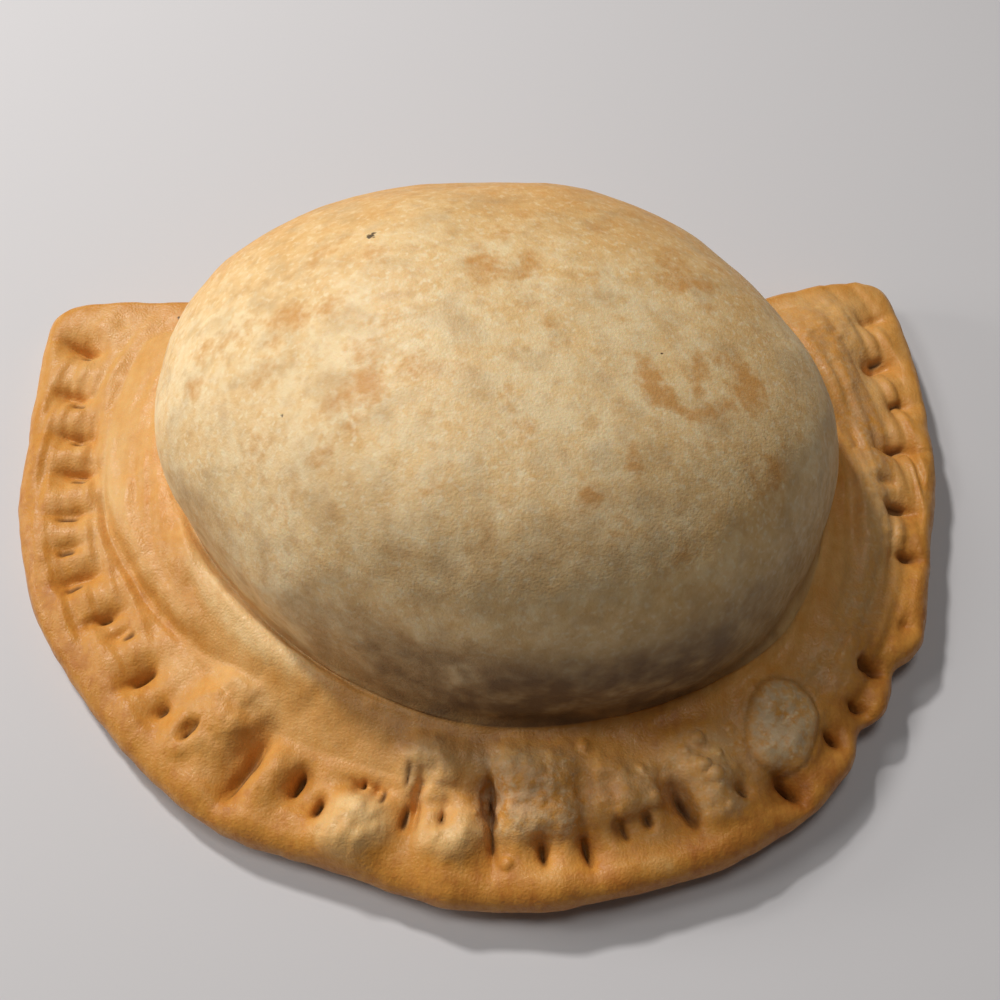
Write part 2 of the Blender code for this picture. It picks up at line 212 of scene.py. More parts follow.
def near(bearing, middle, spread):
    """1 at the middle bearing, fading to 0 over the spread to both sides."""
    gap = (bearing - middle + 180) % 360 - 180
    return np.exp(-((gap / spread) ** 2))


def swelled(value, swells, bearing):
    """The value at each bearing, with the swells added to it."""
    return value + sum(size * near(bearing, middle, spread) for middle, spread, size in swells)


def directions(bearing):
    """Unit vectors outwards and along the rim, in plan."""
    turn = np.radians(bearing)
    out = np.stack([np.cos(turn), np.sin(turn)], -1)
    return out, np.stack([-out[..., 1], out[..., 0]], -1)


def rim_radius(bearing):
    """How far the rim's edge is from the centre."""
    out, _ = directions(bearing)
    side, along = np.abs(out[..., 0]) / RIM_HALF_WIDTH, out[..., 1]
    back = side**CORNER_SHARPNESS + (np.maximum(along, 0) / RIM_BACK_REACH) ** CORNER_SHARPNESS
    front = side**2 + (np.minimum(along, 0) / RIM_FRONT_REACH) ** 2
    return swelled(np.where(along >= 0, back ** (-1 / CORNER_SHARPNESS), front**-0.5), RIM_SWELLS, bearing)


def dome_radius(bearing):
    """A smooth closed curve through the dome's reaches."""
    place = (bearing % 360) * len(DOME_REACHES) / 360
    low = np.floor(place).astype(int)
    part = place - low
    before, here, after, beyond = (DOME_REACHES[(low + step) % len(DOME_REACHES)] for step in (-1, 0, 1, 2))
    bend = 2 * before - 5 * here + 4 * after - beyond + part * (3 * (here - after) + beyond - before)
    return here + 0.5 * part * (after - before + part * bend)


def smooth_max(a, b, soft):
    """The larger of two values, rounded off where they meet."""
    return 0.5 * (a + b + np.sqrt((a - b) ** 2 + soft**2))


def soft_noise(points, size, seed):
    """Smooth random values from -1 to 1 that change over the given size."""
    lattice = np.random.default_rng(seed).uniform(-1, 1, (NOISE_CELLS,) * 3)
    scaled = points / size
    low = np.floor(scaled).astype(int)
    part = smooth_step(scaled - low, 0, 1)
    total = np.zeros(points.shape[:-1])
    for corner in np.ndindex(2, 2, 2):
        index = (low + corner) % NOISE_CELLS
        share = np.prod(np.where(np.array(corner) == 1, part, 1 - part), axis=-1)
        total += share * lattice[index[..., 0], index[..., 1], index[..., 2]]
    return total


def from_print(plan, bearing, inset, length):
    """How far each plan point is from a print's middle: outwards in half lengths, and across in metres."""
    bearing = np.array(float(bearing))
    out, along = directions(bearing)
    offset = plan - (CENTRE + (rim_radius(bearing) - inset * MM) * out)
    return offset @ out / (length / 2 * MM), offset @ along


def fork_prints(plan):
    """How deep the fork's prints are at each plan point."""
    depth = np.zeros(plan.shape[:-1])
    for bearing, inset, length, deep in FORK_PRINTS:
        reach, across = from_print(plan, bearing, inset, length)
        tilt = 1 - PRINT_TILT * np.clip(reach, -1, 1)
        reach = np.abs(reach) ** PRINT_END_POWER
        core = np.exp(-((across / PRINT_HALF_WIDTH) ** 2) - reach)
        press = np.exp(-((across / (PRINT_HALF_WIDTH * PRESS_WIDTH)) ** 2) - PRESS_END_SHARE * reach)
        depth = depth + deep * MM * tilt * ((1 - PRESS_SHARE) * core + PRESS_SHARE * press)
    return depth


def from_spot(plan, place, half_sizes, turn, boxiness):
    """How far each plan point is from a turned spot's middle: 1 at its half sizes, in millimetres."""
    long_way, short_way = directions(np.array(float(turn)))
    offset = plan - np.array(place) * MM
    long_part = np.abs(offset @ long_way / (half_sizes[0] * MM))
    short_part = np.abs(offset @ short_way / (half_sizes[1] * MM))
    return (long_part**boxiness + short_part**boxiness) ** (1 / boxiness)


def blisters(plan):
    """How far the blisters and pillows stand up at each plan point."""
    rise = np.zeros(plan.shape[:-1])
    for place, half_sizes, turn, height, boxiness in BLISTERS.values():
        spread = from_spot(plan, place, half_sizes, turn, boxiness)
        rise = rise + height * MM * np.exp(-(spread**BLISTER_EDGE_POWER))
    return rise


def flap_step(bearing, reach):
    """The groove along the flap's edge, with the dough inside it standing proud."""
    share = (bearing - FLAP_START[0]) / (FLAP_END[0] - FLAP_START[0])
    line = FLAP_START[1] + share * (FLAP_END[1] - FLAP_START[1])
    fade = np.clip(FLAP_FULLNESS - FLAP_FADE * np.abs(share - FLAP_MIDDLE), 0, 1)
    offset = (reach - line) / FLAP_GROOVE_HALF_WIDTH
    lip = FLAP_LIP_RISE * np.exp(-(((offset + FLAP_LIP_OFFSET) / FLAP_LIP_WIDTH) ** 2))
    return fade * FLAP_GROOVE * (lip - np.exp(-(offset**2)))


def foot_roll(bearing, beyond_crease):
    """The rise of the roll that lies along the dome's foot."""
    offset = beyond_crease - ROLL_OFFSET
    offset = np.abs(offset) / np.where(offset < 0, ROLL_INNER_WIDTH, ROLL_OUTER_WIDTH)
    return ROLL_RISE * near(bearing, ROLL_BEARING, ROLL_SPREAD) * np.exp(-(offset**ROLL_ROUNDNESS))


def crease_fill(radius, above, beyond):
    """How far the hollow of that radius moves a point at the crease out and up.

    The point lies some way above the crease, on the wall, or some way beyond it, on the collar.
    """
    off_wall = np.clip(beyond / radius, 0, 1)
    off_collar = np.clip(above / radius, 0, 1)
    turn = np.pi / 4 * (1 + off_wall - off_collar)
    out = radius * (1 - np.cos(turn) - off_wall)
    up = radius * (1 - np.sin(turn) - off_collar)
    return out, up


def profile(bearing, rows):
    """Reach and height along each bearing's profile, from the top of the dome to the flat base."""
    dome = dome_radius(bearing)
    fold = smooth_step(dome + FOLD_BLEND - rim_radius(bearing), 0, FOLD_BLEND)
    crease = dome - swelled(DOME_TUCK, DOME_TUCKS, bearing) * (1 - FOLD_LESS_TUCK * fold)
    crease_height = CREASE_HEIGHT + (FOLD_CREASE_HEIGHT - CREASE_HEIGHT) * fold
    thickness = RIM_THICKNESS + (FOLD_FOOT_THICKNESS - RIM_THICKNESS) * fold
    rim = smooth_max(rim_radius(bearing), dome + FOLD_MARGIN, RIM_EDGE_SOFTNESS)
    collar_end = crease + swelled(COLLAR_SHARE, COLLAR_SHARES, bearing) * (rim - crease)
    edge = np.minimum(thickness / 2, RIM_EDGE_SHARE * (rim - collar_end))
    rise = swelled(RIM_REST_RISE, RIM_CURLS, bearing)
    rim_top = rise + thickness
    radius = swelled(CREASE_RADIUS, CREASE_RADII, bearing) * (1 - FOLD_LESS_HOLLOW * fold)
    top_power = swelled(DOME_TOP_POWER, DOME_FULL_FRONT, bearing)
    wall_power = swelled(DOME_WALL_POWER, DOME_FULL_FRONT, bearing)
    reach, height, zone = [], [], []

    def add(r, z, name):
        reach.append(r)
        height.append(z + 0 * r)
        zone.append(name)

    for t in np.linspace(0, np.pi / 2, rows["dome"] + 1)[1:]:
        z = DOME_WAIST + (DOME_HEIGHT - DOME_WAIST) * max(np.cos(t), 0) ** (2 / wall_power)
        out, up = crease_fill(radius, z - crease_height, 0)
        add(dome * np.sin(t) ** (2 / top_power) + out, z + up, "dome")
    for t in np.linspace(0, np.pi / 2, rows["tuck"] + 1)[1:]:
        z = DOME_WAIST - (DOME_WAIST - crease_height) * np.sin(t)
        out, up = crease_fill(radius, z - crease_height, 0)
        add(dome - (dome - crease) * (1 - np.cos(t)) + out, z + up, "tuck")
    for t in np.linspace(0, 1, rows["collar"] + 1)[1:]:
        beyond = (collar_end - crease) * t
        out, up = crease_fill(radius, 0, beyond)
        z = rim_top + (crease_height - rim_top) * (1 - t**COLLAR_FULLNESS)
        add(crease + beyond + out, z + up, "collar")
    for t in np.linspace(0, 1, rows["rim"] + 1)[1:]:
        add(collar_end + (rim - edge - collar_end) * t, rim_top, "rim")
    for t in np.linspace(0, np.pi, rows["edge"] + 1)[1:]:
        add(rim - edge + edge * np.sin(t), rise + thickness / 2 * (1 + np.cos(t)), "edge")
    base = BASE_SHARE * dome
    for t in np.linspace(0, 1, rows["under"] + 1)[1:]:
        add((rim - edge) + (base - rim + edge) * t, rise * (1 - t) ** UNDERSIDE_POWER, "under")
    return np.array(reach), np.array(height), np.array(zone), crease


# Small relief: size of its features, its height on the dome, on the collar and rim, and a seed.
GRAIN = (
    (24 * MM, 0.6 * MM, 0.0, 11),
    (10 * MM, 0.25 * MM, 0.35 * MM, 12),
    (5 * MM, 0.14 * MM, 0.24 * MM, 13),
    (2.6 * MM, 0.03 * MM, 0.14 * MM, 14),
)
# The lower front of the dome is lumpier: bearing, spread, and how much more. That comes in between two
# heights and fades out again below a third, towards the crease.
LUMPY_FRONT, LUMPY_SPREAD, LUMPINESS = 262, 56, 2.8
LUMPY_FROM, LUMPY_FULL, LUMPY_FADE = 50 * MM, 20 * MM, 22 * MM
# Fine wrinkles run along the collar at both sides: bearing, spread, height. Then their size across and
# along, the place in the noise that they are read from, and a seed.
WRINKLES = ((188, 30, 0.6 * MM), (355, 34, 0.85 * MM))
WRINKLE_WIDTH, WRINKLE_LENGTH = 1.7 * MM, 16 * MM
WRINKLE_SHIFT, WRINKLE_SEED = 5, 21

# Narrow cuts at the bottom of the prints, in millimetres: bearing, inset from the edge, length, depth.
CUTS = (
    (158.5, 12.0, 2.5, 1.6), (166.5, 11.6, 3.0, 1.5), (172.2, 12.4, 3.0, 1.5), (178.6, 13.0, 2.6, 1.3),
    (185.0, 11.0, 4.0, 1.0), (190.2, 9.6, 3.0, 1.2), (195.8, 8.6, 3.4, 1.2), (201.8, 11.0, 2.6, 1.6),
    (206.2, 13.2, 2.4, 1.0), (213.0, 10.8, 4.5, 1.8), (218.9, 9.8, 2.4, 1.2), (224.3, 11.0, 4.5, 1.6),
    (234.2, 10.6, 9.5, 1.6), (241.2, 13.0, 4.0, 1.8), (245.3, 9.4, 3.0, 1.6), (250.2, 15.4, 1.8, 1.6),
    (253.6, 13.8, 3.0, 1.2), (257.2, 11.5, 4.5, 1.6), (256.6, 19.0, 4.0, 1.0), (262.3, 13.2, 2.0, 1.4),
    (269.4, 14.6, 12.5, 1.8), (275.6, 8.6, 3.6, 1.4), (281.0, 8.2, 5.0, 1.6), (286.3, 10.2, 3.0, 1.1),
    (289.7, 11.2, 1.8, 1.3), (294.9, 11.2, 6.5, 1.8), (302.0, 9.8, 2.4, 1.5), (307.0, 6.0, 4.0, 1.8),
    (315.5, 6.4, 3.5, 1.3), (321.0, 4.6, 3.5, 1.3), (326.5, 5.6, 4.0, 1.4), (343.8, 6.2, 3.6, 1.2),
    (351.0, 9.4, 4.0, 1.3), (1.0, 9.4, 4.0, 1.2), (8.0, 7.0, 3.0, 1.2), (15.4, 9.2, 3.4, 1.6),
)
CUT_HALF_WIDTH = 0.55 * MM
CUT_END_POWER = 4

# Little bubbles in the crust, in millimetres: plan place and radius.
FROTH = (
    (36.9, -49.0, 1.5), (39.2, -50.9, 1.3), (37.1, -44.0, 1.5), (16.6, -44.6, 1.3), (28.9, -54.2, 1.4),
    (50.6, -34.1, 1.2), (43.8, -41.9, 1.0), (40.8, -46.5, 0.9), (34.6, -46.3, 1.0), (31.2, -50.5, 1.1),
    (1.2, -64.0, 1.3), (26.5, -49.0, 0.9), (-3.4, -55.3, 0.8), (41.5, -56.0, 0.9), (22.0, -56.5, 0.9),
)
# How high they stand against their radius.
FROTH_RISE = 0.6

# The largest bubble's foot is pinched in: how deep, the groove's half width as a share of the bubble's half
# sizes, and how much of the cuts' painted shade its groove takes.
PINCH_DEPTH, PINCH_WIDTH, PINCH_PAINTED_SHADE = 0.5 * MM, 0.08, 0.3
# The bubble's middle has sunk in: how deep, the share of its half sizes, and how much browner it is there.
SUNK_DEPTH, SUNK_SHARE, SUNK_BROWNER = 1.3 * MM, 0.62, 0.22

# The raised skin of the blisters is crumpled: size of the crumples, their height, and a seed. It is fully
# so from a certain rise.
CRUMPLES = ((3.6 * MM, 0.5 * MM, 31), (1.9 * MM, 0.3 * MM, 32), (1.1 * MM, 0.16 * MM, 33))
CRUMPLED_FROM = 3.0 * MM

# Brown patches on the dome, in millimetres: plan place, half sizes, turn in degrees, and how dark.
PATCHES = (
    (2.2, 25.2, 3.2, 4.2, 8, 0.75), (8.9, 24.6, 2.6, 3.6, -20, 0.6), (10.6, 40.7, 2.6, 3.0, 0, 0.6),
    (5.4, 34.6, 1.8, 2.4, 0, 0.5), (-27.3, 32.7, 2.2, 6.0, -38, 0.55), (-17.1, 29.1, 2.4, 3.0, 0, 0.45),
    (-31.8, 19.3, 5.0, 2.6, -10, 0.65), (-24.7, 19.7, 4.2, 2.0, 12, 0.55), (-43, 21.1, 3.6, 2.6, 20, 0.55),
    (-36.2, 15.5, 2.0, 1.8, 0, 0.55), (-49.1, 20.1, 2.2, 3.2, 20, 0.45), (-50.9, 14.3, 2.0, 4.2, 25, 0.5),
    (-37.7, 10.2, 3.2, 2.4, 30, 0.5), (-19.0, 7.1, 2.2, 4.4, 4, 0.65), (-19.0, 1.7, 3.0, 3.0, 0, 0.95),
    (-24.0, -0.2, 2.1, 2.0, 0, 0.75), (-20.6, -2.4, 1.6, 2.4, 0, 0.6), (-10.4, 5.8, 1.9, 3.4, 12, 0.65),
    (-7.2, 3.6, 3.0, 1.6, -15, 0.6), (3.7, -1.0, 2.2, 2.0, 0, 0.42), (6.8, -7.1, 2.0, 3.0, 0, 0.5),
    (-26.9, -7.6, 3.0, 3.2, 0, 0.42), (-39.3, -2.3, 2.4, 3.4, 0, 0.42), (-33.9, -12.8, 2.0, 1.8, 0, 0.6),
    (-8.2, -16.5, 1.8, 1.6, 0, 0.4), (36.2, 29.6, 2.6, 5.0, 6, 0.75), (38.6, 26.4, 4.6, 1.9, 12, 0.85),
    (34.0, 25.8, 1.6, 2.4, 20, 0.6), (24.0, 40.1, 3.2, 3.0, 0, 0.5), (21.5, 23.6, 1.8, 1.8, 0, 0.45),
    (45.5, 34.5, 3.4, 1.6, -38, 0.5), (28.4, 2.6, 1.9, 3.0, 16, 1.1), (30.4, -0.6, 2.0, 2.2, 35, 1.1),
    (34.2, -2.7, 3.2, 1.1, -8, 0.95), (38.4, -1.9, 2.6, 1.0, 10, 0.85), (41.9, 0.4, 2.2, 1.3, 30, 0.7),
    (46.0, 3.0, 3.0, 2.6, 40, 0.85), (47.6, 6.0, 2.4, 3.6, 10, 0.95), (44.4, 8.6, 3.4, 1.6, -25, 0.75),
    (38.4, 7.2, 1.8, 3.0, -20, 0.6), (37.0, 3.4, 1.5, 3.0, 10, 0.6), (23.9, -12.7, 1.3, 2.4, 0, 0.8),
    (16.6, -18.8, 1.9, 1.9, 0, 0.9), (21.4, -21.7, 2.4, 3.0, -30, 0.5), (50.2, -9.7, 2.0, 3.8, -10, 0.8),
    (45.4, -9.8, 1.5, 2.6, 10, 0.6), (42.3, 20.2, 2.0, 3.0, 0, 0.45), (57.0, -16.0, 2.0, 4.0, 0, 0.4),
    (-0.5, -22.5, 4.0, 5.0, 0, 0.3), (30.5, -25.5, 4.0, 3.0, 20, 0.35), (-14.5, 13.5, 2.0, 2.4, 0, 0.3),
    (12.5, 9.5, 1.8, 3.4, 10, 0.3), (-1.5, 9.8, 2.0, 2.4, 0, 0.3), (25.5, 14.5, 1.8, 2.8, 8, 0.3),
)
# How much larger they are with their ragged edges, and the heights between which they come in.
PATCH_SIZE = 1.4
PATCHED_FROM, PATCHED_FULL = 14 * MM, 20 * MM

# Charred specks, in millimetres: place and radius.
SPECKS = (
    (-18.4, 34.5, 62.9, 0.85), (-17.9, 35.3, 62.6, 0.5), (-33.5, 1.2, 54.9, 0.55), (-48.7, 1.9, 43.0, 0.3),
    (48.5, -3.5, 49.8, 0.4), (30.9, 8.4, 59.8, 0.3), (-68.8, 62.7, 10.0, 0.45),
)
# Heights count this much when the distance to a speck is measured, so the speck needn't lie on the skin.
SPECK_FLATNESS = 0.2

# How much paler each blister's top is, in part a painted highlight, and how grey. The skin changes between
# two shares of the blister.
BLISTER_SKIN_AND_HIGHLIGHTS = {
    "block": (-0.04, 0.5),
    "bubble": (0.2, 0.85),
    "round_pillow": (0.36, 0.0),
    "upper_pillow": (0.12, 0.25),
    "lower_pillow": (0.2, 0.05),
    "small_blister": (0.1, 0.3),
    "boxy_pillow": (0.1, 0.4),
    "froth": (0.06, 0.3),
    "right_lobe": (0.1, 0.2),
}
BLISTER_SKIN_FROM, BLISTER_SKIN_FULL = 0.2, 0.62

# Pale places on the collar and rim, some of them paler dough and some painted highlights on the pillows
# near the rim's front, in millimetres: plan place, half sizes, turn in degrees, and how much paler.
PALE_AND_HIGHLIGHT_SPOTS = (
    (3.4, -47.0, 10.0, 2.4, -3, 0.3), (3.0, -58.6, 7.0, 1.8, 0, 0.2), (-9.5, -60.0, 4.5, 2.6, 0, 0.16),
    (8.6, -65.6, 3.5, 1.8, 0, 0.2), (28.4, -65.2, 3.5, 2.0, 10, 0.24), (-13.0, -46.5, 3.5, 3.0, 0, 0.16),
    (-47.0, -28.5, 9.0, 2.2, -38, 0.16), (-60.0, -24.0, 6.0, 3.0, -50, 0.12),
    (-80.0, 14.0, 3.0, 14.0, -4, 0.12), (41.0, -47.0, 4.0, 2.0, 0, 0.16),
)

# The dome's front has a dusky, grey-brown skin, partly its own colour and partly painted shade: bearing,
# spread, the heights between which it comes in, and its share.
DUSKY_SKIN_AND_SHADE = (
    (272, 44, 63 * MM, 56 * MM, 0.34),
    (266, 50, 53 * MM, 46 * MM, -0.26),
    (282, 42, 46 * MM, 32 * MM, 1.0),
    (202, 12, 42 * MM, 28 * MM, 0.22),
)
# How much of the spread round each bearing is fully dusky.
DUSKY_FULLNESS = 1.3

# How dull and grey the collar is: overall, then bearing, spread and how much more. The grey comes in beyond
# the crease and fades out towards the rim's edge.
COLLAR_GREY = 0.04
COLLAR_GREYS = ((300, 40, 0.22), (328, 26, 0.3), (5, 34, 0.26))
GREY_FROM, GREY_FULL = 4 * MM, 14 * MM
GREY_EDGE, GREY_EDGE_FADE = 5 * MM, 17 * MM

# How brown the dough is, from 0, pale, to 1, dark.
DOME_BAKE, FOOT_BAKE, COLLAR_BAKE, RIM_BAKE, UNDER_BAKE = 0.08, 0.3, 0.48, 0.62, 0.8
# The dome is palest at the left. To the other sides it is browner: direction, from where, up to where, and
# how much.
DOME_BAKES = (
    ((1, 0), 5 * MM, 60 * MM, 0.1),
    ((0, 1), 18 * MM, 62 * MM, 0.4),
    ((0, -1), 2 * MM, 40 * MM, 0.08),
)
# Where the others differ: bearing, spread, how much browner.
FOOT_BAKES = ((285, 60, 0.2), (212, 28, -0.34))
COLLAR_BAKES = ((280, 55, 0.12), (203, 20, 0.18), (8, 26, 0.2))
RIM_BAKES = ((18, 24, -0.12), (158, 16, -0.1), (300, 30, 0.06))
# The heights between which the dome's foot comes in, and how it runs on beyond the crease: width, share.
FOOT_FROM, FOOT_FULL = 24 * MM, 12 * MM
FOOT_BEYOND, FOOT_BEYOND_SHARE = 5 * MM, 0.6
# Next to the dome's front the collar is painted browner, as shade: bearing, spread, how much, and over what
# width.
INNER_COLLAR_SHADE = ((262, 20, 0.1), (300, 22, 0.16))
INNER_COLLAR_WIDTH = 16 * MM
INNER_COLLAR_FULL = 0.3 * INNER_COLLAR_WIDTH
# There painted shade runs on from the dome's dusky front: bearing, spread, share.
COLLAR_PAINTED_SHADE = ((262, 20, 0.6), (205, 10, 0.2))
# The rim is browner within a certain distance of its edge.
RIM_EDGE_BROWNER = 0.12
RIM_EDGE_FULL, RIM_EDGE_WIDTH = 2 * MM, 12 * MM
# The roll's top and the flap's lip are paler, the roll's between two shares of its rise.
ROLL_PALER, ROLL_PALER_FROM, ROLL_PALER_FULL = 0.3, 0.35 * ROLL_RISE, 0.8 * ROLL_RISE
LIP_PALER = 0.14
# A print this deep is fully a pit.
PIT_DEPTH = 4.5 * MM
# The heights between which dome turns into rind.
RIND_FULL, RIND_FROM = 13 * MM, 22 * MM


def column_bearings():
    """The bearing of each column of the grid."""
    front = np.linspace(FRONT_FROM, FRONT_TO, FRONT_COLUMNS, endpoint=False)
    fold = np.linspace(FRONT_TO, FRONT_FROM + 360, FOLD_COLUMNS, endpoint=False)
    return np.concatenate([front, fold]) % 360


def grid_normals(points):
    """Unit normals of the grid, outwards."""
    along = np.roll(points, -1, axis=1) - np.roll(points, 1, axis=1)
    down = np.gradient(points, axis=0)
    normals = np.cross(down, along)
    return normals / np.maximum(np.linalg.norm(normals, axis=-1, keepdims=True), 1e-12)


def in_zones(zone, *names):
    """Which rows are in one of the named zones, as a column."""
    return np.isin(zone, names)[:, None]


def zone_weights(zone):
    """How much of the collar's and rim's relief each row takes."""
    weight = np.zeros(len(zone))
    collar = np.flatnonzero(zone == "collar")
    weight[collar] = np.clip(np.linspace(0, COLLAR_FADE_IN, len(collar)), 0, 1)
    weight[zone == "rim"] = 1
    edge = np.flatnonzero(zone == "edge")
    weight[edge] = np.clip(1 - np.linspace(0, EDGE_FADE_OUT, len(edge)), 0, 1)
    return weight[:, None]


def spot_mask(plan, place, half_sizes, turn, boxiness=2):
    """1 in the middle of a turned spot, fading to 0 round it."""
    return np.exp(-(from_spot(plan, place, half_sizes, turn, boxiness) ** 2))


def froth(plan):
    """How far the little bubbles stand up at each plan point."""
    rise = np.zeros(plan.shape[:-1])
    for x, y, radius in FROTH:
        gap = np.linalg.norm(plan - np.array((x, y)) * MM, axis=-1) / (radius * MM)
        rise = np.maximum(rise, FROTH_RISE * radius * MM * np.sqrt(np.clip(1 - gap**2, 0, 1)))
    return rise


def cuts(plan):
    """The narrow cuts' depth at each plan point, and how far inside one it is, from 0 to 1."""
    depth, inside = np.zeros(plan.shape[:-1]), np.zeros(plan.shape[:-1])
    for bearing, inset, length, deep in CUTS:
        reach, across = from_print(plan, bearing, inset, length)
        cut = np.exp(-((across / CUT_HALF_WIDTH) ** 2) - reach**CUT_END_POWER)
        depth, inside = depth + deep * MM * cut, np.maximum(inside, cut)
    return depth, inside


def bubble_groove(plan):
    """How far inside the groove round the largest bubble each plan point is, from 0 to 1."""
    place, half_sizes, turn, _, boxiness = BLISTERS["bubble"]
    spread = from_spot(plan, place, half_sizes, turn, boxiness)
    return np.exp(-(((spread - 1 - PINCH_WIDTH) / PINCH_WIDTH) ** 2))


def bubble_hollow(plan):
    """How far inside the sunk middle of the largest bubble each plan point is, from 0 to 1."""
    place, half_sizes, turn, _, boxiness = BLISTERS["bubble"]
    return spot_mask(plan, place, SUNK_SHARE * np.array(half_sizes), turn, boxiness)


def wrinkles(bearing, reach):
    """The height of the fine wrinkles that run along the collar."""
    place = np.stack([reach / WRINKLE_WIDTH, np.radians(bearing) * reach / WRINKLE_LENGTH, 0 * reach], -1)
    return swelled(0, WRINKLES, bearing) * soft_noise(place + WRINKLE_SHIFT, 1, WRINKLE_SEED)


def unevenness(points):
    """How far each point is pushed out from the middle of the calzone by the hand-made shape."""
    size = UNEVENNESS * soft_noise(points + NOISE_OFFSET, UNEVENNESS_SIZE, UNEVENNESS_SEED)
    outwards = points - np.array((CENTRE[0], CENTRE[1], DOME_WAIST / 2))
    outwards /= np.linalg.norm(outwards, axis=-1, keepdims=True)
    return size[..., None] * outwards


def skin_grain(points, bearing, height, zone, crumpled):
    """The height of the lumps, grain and crumples at each point."""
    lumpy = smooth_step(-height, -LUMPY_FROM, -LUMPY_FULL) * smooth_step(height, CREASE_HEIGHT, LUMPY_FADE)
    lumpy = 1 + LUMPINESS * near(bearing, LUMPY_FRONT, LUMPY_SPREAD) * lumpy
    grain = np.zeros(height.shape)
    for size, dome_height, rim_height, seed in GRAIN:
        noise = soft_noise(points + NOISE_OFFSET, size, seed)
        grain += noise * np.where(in_zones(zone, *DOME_ZONES), dome_height * lumpy, rim_height)
    for size, crumple_height, seed in CRUMPLES:
        grain += crumpled * crumple_height * soft_noise(points + NOISE_OFFSET, size, seed)
    grain[zone == "under"] = 0
    return grain


def crust_skin():
    """The skin's points as rows by columns, each row's zone, the dome's peak, and the fields of baking and
    of painted shade and highlights.
    """
    bearing = column_bearings()
    reach, height, zone, crease = profile(bearing, ROWS)
    out, _ = directions(bearing)
    plan = CENTRE + reach[..., None] * out
    weight = zone_weights(zone)
    prints, raised = fork_prints(plan), blisters(plan)
    cut, inside_cut = cuts(plan)
    groove, hollow = bubble_groove(plan), bubble_hollow(plan)
    roll = foot_roll(bearing, reach - crease)
    step = flap_step(bearing, reach)
    relief = raised - SUNK_DEPTH * hollow - prints - cut - PINCH_DEPTH * groove + roll + step
    relief = relief + froth(plan) + wrinkles(bearing, reach)
    points = np.concatenate([plan, height[..., None]], -1)
    points[..., 2] += weight * relief
    top = np.isin(zone, TOP_ZONES)
    points[top] += unevenness(points)[top]
    crumpled = weight * np.clip(raised / CRUMPLED_FROM, 0, 1)
    points += skin_grain(points, bearing, height, zone, crumpled)[..., None] * grid_normals(points)
    peak = np.array((CENTRE[0], CENTRE[1], points[0, :, 2].max() + PEAK_RISE))

    fields = baking(plan, bearing, reach, height, zone, crease, weight)
    fields["pit"] = weight * np.clip(prints / PIT_DEPTH, 0, 1)
    # Where painted shade goes: in the cuts, and more lightly in the groove round the largest bubble.
    fields["cut"] = weight * np.maximum(inside_cut, PINCH_PAINTED_SHADE * groove)
    fields["bake"] -= ROLL_PALER * smooth_step(roll, ROLL_PALER_FROM, ROLL_PALER_FULL)
    fields["bake"] += SUNK_BROWNER * weight * hollow
    fields["bake"] -= LIP_PALER * weight * np.clip(step / FLAP_GROOVE, 0, 1)
    return points, zone, peak, fields


def inner_collar(beyond):
    """1 at the crease, fading to 0 over the inner part of the collar."""
    return 1 - smooth_step(beyond, INNER_COLLAR_FULL, INNER_COLLAR_WIDTH)


def browned(plan, bearing, beyond, edge_gap, height, zone):
    """How brown each point is, from its place on the dome, the collar or the rim, with painted shade on the
    collar by the dome's front.
    """
    dome_bake = DOME_BAKE
    for direction, start, full, browner in DOME_BAKES:
        dome_bake = dome_bake + browner * smooth_step(plan @ np.array(direction), start, full)
    foot_bake = swelled(FOOT_BAKE, FOOT_BAKES, bearing)
    foot = smooth_step(-height, -FOOT_FROM, -FOOT_FULL)
    dome_bake = dome_bake + np.maximum(foot_bake - dome_bake, 0) * foot
    collar_bake = swelled(COLLAR_BAKE, COLLAR_BAKES, bearing)
    beyond_foot = FOOT_BEYOND_SHARE * (1 - smooth_step(beyond, 0, FOOT_BEYOND))
    collar_bake = collar_bake + (foot_bake - collar_bake) * beyond_foot
    # Painted shade on the collar next to the dome's front.
    collar_bake = collar_bake + swelled(0, INNER_COLLAR_SHADE, bearing) * inner_collar(beyond)
    near_edge = 1 - smooth_step(edge_gap, RIM_EDGE_FULL, RIM_EDGE_WIDTH)
    rim_bake = swelled(RIM_BAKE, RIM_BAKES, bearing) + RIM_EDGE_BROWNER * near_edge
    bake = np.where(in_zones(zone, "collar"), collar_bake, rim_bake)
    bake = np.where(in_zones(zone, *DOME_ZONES), dome_bake, bake)
    return np.where(in_zones(zone, "under"), UNDER_BAKE, bake)


def greyed(bearing, beyond, edge_gap, zone):
    """How dull and grey each point of the collar and rim is."""
    grey = swelled(COLLAR_GREY, COLLAR_GREYS, bearing) * smooth_step(beyond, GREY_FROM, GREY_FULL)
    grey = grey * smooth_step(edge_gap, GREY_EDGE, GREY_EDGE_FADE)
    return np.where(in_zones(zone, "collar", "rim"), grey, 0)


def brown_patches(plan, height):
    """How dark the brown patches on the dome are at each point."""
    patch = np.zeros(height.shape)
    for x, y, half_x, half_y, turn, dark in PATCHES:
        half_sizes = (PATCH_SIZE * half_x, PATCH_SIZE * half_y)
        patch = np.maximum(patch, dark * spot_mask(plan, (x, y), half_sizes, turn))
    return patch * smooth_step(height, PATCHED_FROM, PATCHED_FULL)


